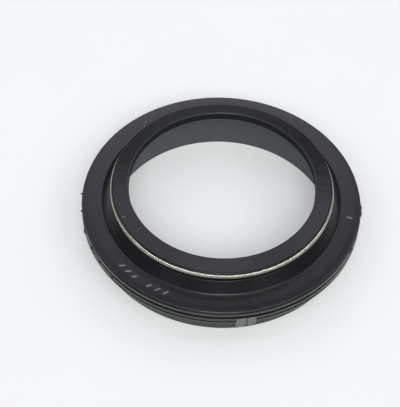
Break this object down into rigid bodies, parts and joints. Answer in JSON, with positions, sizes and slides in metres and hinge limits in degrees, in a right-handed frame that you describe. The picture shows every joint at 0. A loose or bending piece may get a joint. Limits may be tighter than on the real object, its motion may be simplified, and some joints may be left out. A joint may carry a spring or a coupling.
{
  "type": "fork dust cover",
  "caption": "Round rubber dust cover for a motorbike fork: press-in skirt, stop flange, flared collar and wiper lip held in by a garter spring.",
  "frame": {"origin": "on the ring's axis, in the plane that the skirt stands on", "axes": "+Z along the ring's axis, from the skirt towards the wiper lip"},
  "size_m": [0.0542, 0.0542, 0.013],
  "materials": {
    "moulded_rubber": "black nitrile rubber with a soft satin sheen, faint mould lines and torn mould flash",
    "spring_steel": "bright, closely wound spring wire"
  },
  "bodies": {
    "root": {"rubber_cover": "moulded_rubber", "garter_spring": "spring_steel"}
  },
  "joints": []
}
